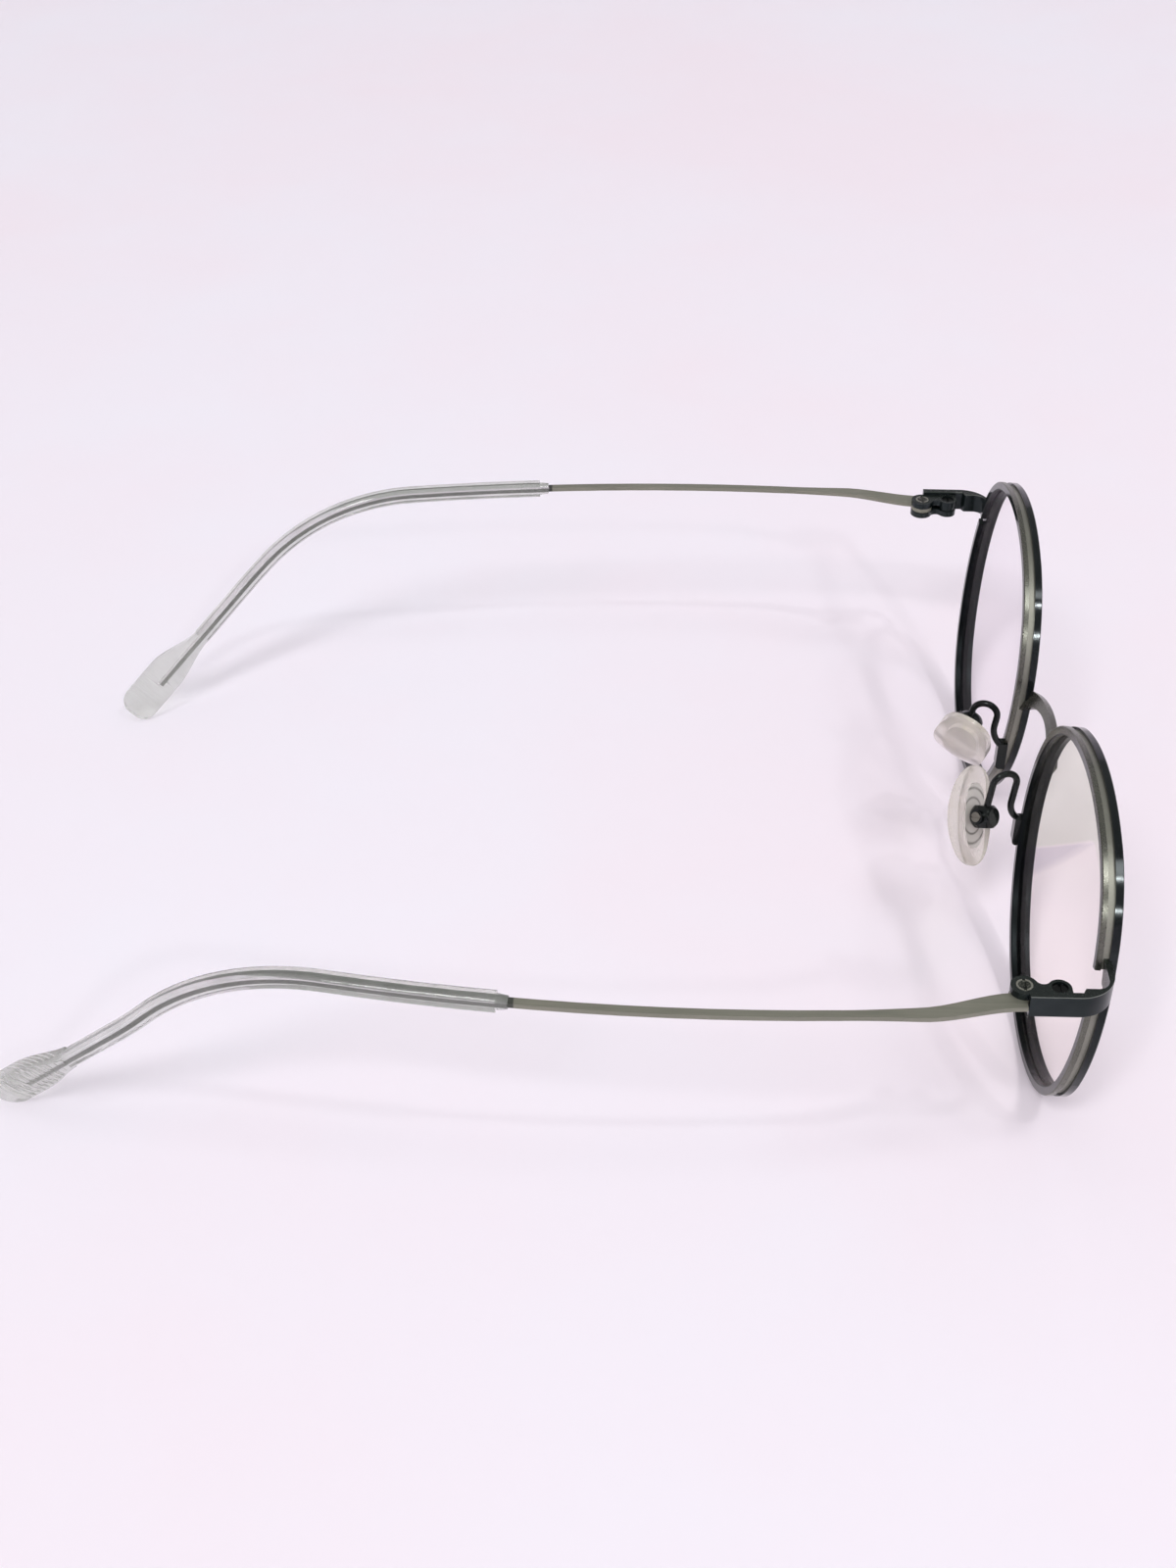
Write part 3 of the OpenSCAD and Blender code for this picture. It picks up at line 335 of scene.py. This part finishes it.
# Painted sheen: the endpieces' upward faces, lighter as if lit from above
hinge_top_sheen = plated_metal("hinge_top_painted_sheen", rgb(38, 45, 44), rgb(62, 67, 63),
                          rough=0.26, metallic=0.75, grain=0.006 * MM)
# Strap plating with a painted highlight along its upper edge
strap_black = strap_plating("strap_black_plating", rgb(20, 30, 31), rgb(38, 46, 47),
                            edge_highlight=rgb(112, 119, 112))
arm_black = plated_metal("pad_arm_plating", rgb(14, 19, 20), rgb(38, 42, 40),
                         rough=0.11, metallic=0.60, grain=0.004 * MM)
screw_olive = plated_metal("pad_screw_metal", rgb(104, 105, 94), rgb(138, 137, 124),
                           rough=0.24, metallic=0.95, grain=0.004 * MM)
screw_black = plated_metal("closing_screw_metal", rgb(14, 17, 17), rgb(34, 36, 35),
                           rough=0.24, metallic=0.70, grain=0.004 * MM)
smoky_sleeve = clear_plastic("smoky_sleeve", rgb(236, 237, 234), rgb(220, 222, 218), rough=0.08,
                             haze=0.10, ripple=0.004 * MM, ior=1.30, cloudy_from=CLOUD_FROM)
clear_silicone = clear_plastic("clear_silicone", rgb(246, 243, 238), rgb(234, 230, 222), rough=0.12,
                               haze=0.27, ripple=0.006 * MM, ior=1.36)
lens_clear = lens_glass("clear_lens", rgb(253, 252, 253))
# The right lens carries the painted reflection
lens_with_reflection = lens_glass("lens_painted_reflection", rgb(255, 253, 252), painted_reflection_bands)

# Finish and record slot of each kind of CAD node, with None where own_finish makes the finish
FINISHES = {
    "rim": (rim_black, "gunmetal"), "bridge": (bridge_grey, "gunmetal"),
    "endpiece": (strap_black, "gunmetal"), "hinge_leaf": (hinge_black, "gunmetal"),
    "closing_block": (hinge_black, "gunmetal"), "pad_arm": (arm_black, "gunmetal"),
    "pad_box": (arm_black, "gunmetal"), "temple": (None, "temple_metal"),
    "hinge_screw": (None, "screw_steel"), "closing_screw": (screw_black, "screw_steel"),
    "pad_screw": (screw_olive, "screw_steel"), "temple_tip": (smoky_sleeve, "tip_acetate"),
    "nose_pad": (clear_silicone, "pad_silicone"), "pad_insert": (None, "pad_insert"),
    "lens": (lens_clear, "lens"),
}


def own_finish(kind, name, part):
    """The finish of a node that shares none with its kind, or None."""
    if kind == "hinge_screw":
        return ringed_head(name + "_metal", name, HINGE_HEAD_R)
    if kind == "pad_insert":
        return stepped_insert(name + "_plastic", part)
    if kind == "temple":
        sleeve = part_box(name.replace("temple", "temple_tip"))
        return temple_metal(name + "_metal", sleeve[0][1] - COLLAR_LEAD)
    return lens_with_reflection if name == "lens_right" else None


for name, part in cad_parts.items():
    kind = name.removesuffix("_left").removesuffix("_right")
    finish, slot = FINISHES[kind]
    part.data.materials.clear()
    part.data.materials.append(own_finish(kind, name, part) or finish)


# Second finishes on some faces of the rims and endpieces, among them painted shade on the rims' inner
# walls and a painted sheen on the endpieces' upward faces

def paint_faces(part, finish, chosen):
    """Give the faces that chosen picks a second finish."""
    part.data.materials.append(finish)
    index = len(part.data.materials) - 1
    for face in part.data.polygons:
        if chosen(face):
            face.material_index = index


def rim_place(face, lens_x):
    """How far back from the lens plane a face lies, and how far it looks away from the lens."""
    arm = face.center - Vector((lens_x, LENS_Y, LENS_Z))
    axis = Vector((0, math.cos(LENS_LEAN), math.sin(LENS_LEAN)))
    depth = arm.dot(axis)
    return depth, face.normal.dot((arm - axis * depth).normalized())


def in_channel(face, lens_x):
    depth, outward = rim_place(face, lens_x)
    return outward > CHANNEL_FACING and CHANNEL_FRONT < depth < CHANNEL_BACK


def on_back_edge(face, lens_x):
    depth, outward = rim_place(face, lens_x)
    return outward > BACK_EDGE_FACING and depth > BACK_EDGE_FRONT


def looks_inwards(face, lens_x):
    return rim_place(face, lens_x)[1] < INWARD_FACING


def looks_up(face):
    return face.normal.z > UPWARD_FACING


for side, lens_x in (("left", LENS_X), ("right", -LENS_X)):
    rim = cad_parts["rim_" + side]
    paint_faces(rim, channel_grey, lambda face: in_channel(face, lens_x))
    paint_faces(rim, back_edge, lambda face: on_back_edge(face, lens_x))
    # Inward faces of the rims get the painted shade
    paint_faces(rim, inner_wall_shade, lambda face: looks_inwards(face, lens_x))
    # Endpieces' upward faces get the painted sheen
    paint_faces(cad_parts["endpiece_" + side], hinge_top_sheen, looks_up)


# Stage: a pale pink-lavender sheet under soft light

def paper(name):
    """Pale paper whose pink and lavender drift over the sheet."""
    look = new_finish(name)
    cloud = look.noise(0.22, detail=4, roughness=0.6)
    fine = look.noise(0.02, detail=3)
    drift = (cloud * 0.85 + fine * 0.15).between(0.36, 0.64)
    return look.done(look.principled({
        "Base Color": look.blend(drift, rgb(244, 241, 249), rgb(246, 236, 244)),
        "Roughness": 0.75 + (fine - 0.5) * 0.1, "Specular IOR Level": 0.2}))


def paper_bowl():
    """A round floor whose edge turns up into a low wall on every side."""
    floor_r, cove_r, wall, sides = 1.5, 0.4, 0.5, 96
    inner_rings, cove_start, cove_steps = (0.15, 0.6), 0.15, 10
    sunk = 0.05 * MM  # keeps the sheet just clear of the frame's feet
    profile = [(radius, 0.0) for radius in (*inner_rings, floor_r)]
    profile += [(floor_r + cove_r * math.sin(angle), cove_r - cove_r * math.cos(angle))
                for angle in np.linspace(cove_start, math.pi / 2, cove_steps)]
    profile.append((floor_r + cove_r, cove_r + wall))
    turns = np.linspace(0, 2 * math.pi, sides, endpoint=False)
    verts = [(0.0, 0.0, -sunk)]
    verts += [(radius * math.cos(turn), radius * math.sin(turn), height - sunk)
              for radius, height in profile for turn in turns]
    faces = [(0, 1 + i, 1 + (i + 1) % sides) for i in range(sides)]
    for ring in range(len(profile) - 1):
        first = 1 + ring * sides
        for i in range(sides):
            near, beside = first + i, first + (i + 1) % sides
            faces.append((near, near + sides, beside + sides, beside))
    mesh = bpy.data.meshes.new("paper_bowl")
    mesh.from_pydata(verts, [], faces)
    mesh.polygons.foreach_set("use_smooth", [True] * len(faces))
    bowl = bpy.data.objects.new("paper_bowl", mesh)
    bpy.context.scene.collection.objects.link(bowl)
    mesh.materials.append(paper("pale_paper"))


def lamp(name, towards, distance, size, watts):
    """A square lamp that looks at the frame from the direction towards."""
    data = bpy.data.lights.new(name, "AREA")
    data.shape, data.size, data.energy = "SQUARE", size, watts
    made = bpy.data.objects.new(name, data)
    bpy.context.scene.collection.objects.link(made)
    frame_middle = Vector((0, 0, 0.02))
    way = Vector(towards).normalized()
    made.location = frame_middle + way * distance
    made.rotation_mode = "QUATERNION"
    made.rotation_quaternion = way.to_track_quat("Z", "Y")


def world_light():
    """Even room light, dimmer at the horizon and below, so that metal has something to show."""
    world = bpy.data.worlds.new("soft_room")
    bpy.context.scene.world = world
    room = Look(world)
    way = room.node("ShaderNodeTexCoord", out="Generated")
    height = room.node("ShaderNodeSeparateXYZ", {}, {0: way}, out="Z")
    dim, bright = (0.36, 0.36, 0.37, 1), (0.90, 0.89, 0.90, 1)
    colour = room.node("ShaderNodeValToRGB", {"stops": ((0.0, dim), (0.75, bright))}, {0: height})
    glow = room.node("ShaderNodeBackground", {}, {"Color": colour, "Strength": 0.57})
    seen = room.node("ShaderNodeBackground", {}, {"Color": rgb(245, 240, 246)})
    straight = room.node("ShaderNodeLightPath", out="Is Camera Ray")
    room.done(room.layer(straight, glow, seen), "ShaderNodeOutputWorld")


paper_bowl()
lamp("ceiling_panel", (-0.60, 0.22, 0.77), distance=4.0, size=0.9, watts=60.0)
lamp("front_panel", (-0.25, -0.42, 0.87), distance=2.5, size=0.50, watts=7.0)
for name, towards in (("spark_high", (-0.402, -0.358, 0.843)), ("spark_low", (-0.747, -0.332, 0.577))):
    lamp(name, towards, distance=1.84, size=0.06, watts=2.3)
world_light()

# Camera: the photograph's own angle and field
RIGHT = (0.023333, -0.999503, -0.021184)
UP = (0.601439, -0.002892, 0.798913)
BACK = (-0.798578, -0.031382, 0.601073)
STANDS = (-0.239295, -0.015955, 0.199164)
eye = bpy.data.cameras.new("photo_camera")
eye.sensor_fit, eye.sensor_width, eye.lens = "AUTO", 36.0, 48.13
eye.clip_start, eye.clip_end = 0.01, 20.0
camera = bpy.data.objects.new("photo_camera", eye)
bpy.context.scene.collection.objects.link(camera)
camera.matrix_world = Matrix([*zip(RIGHT, UP, BACK, STANDS), (0, 0, 0, 1)])
bpy.context.scene.camera = camera
bpy.context.scene.view_settings.view_transform = "Standard"
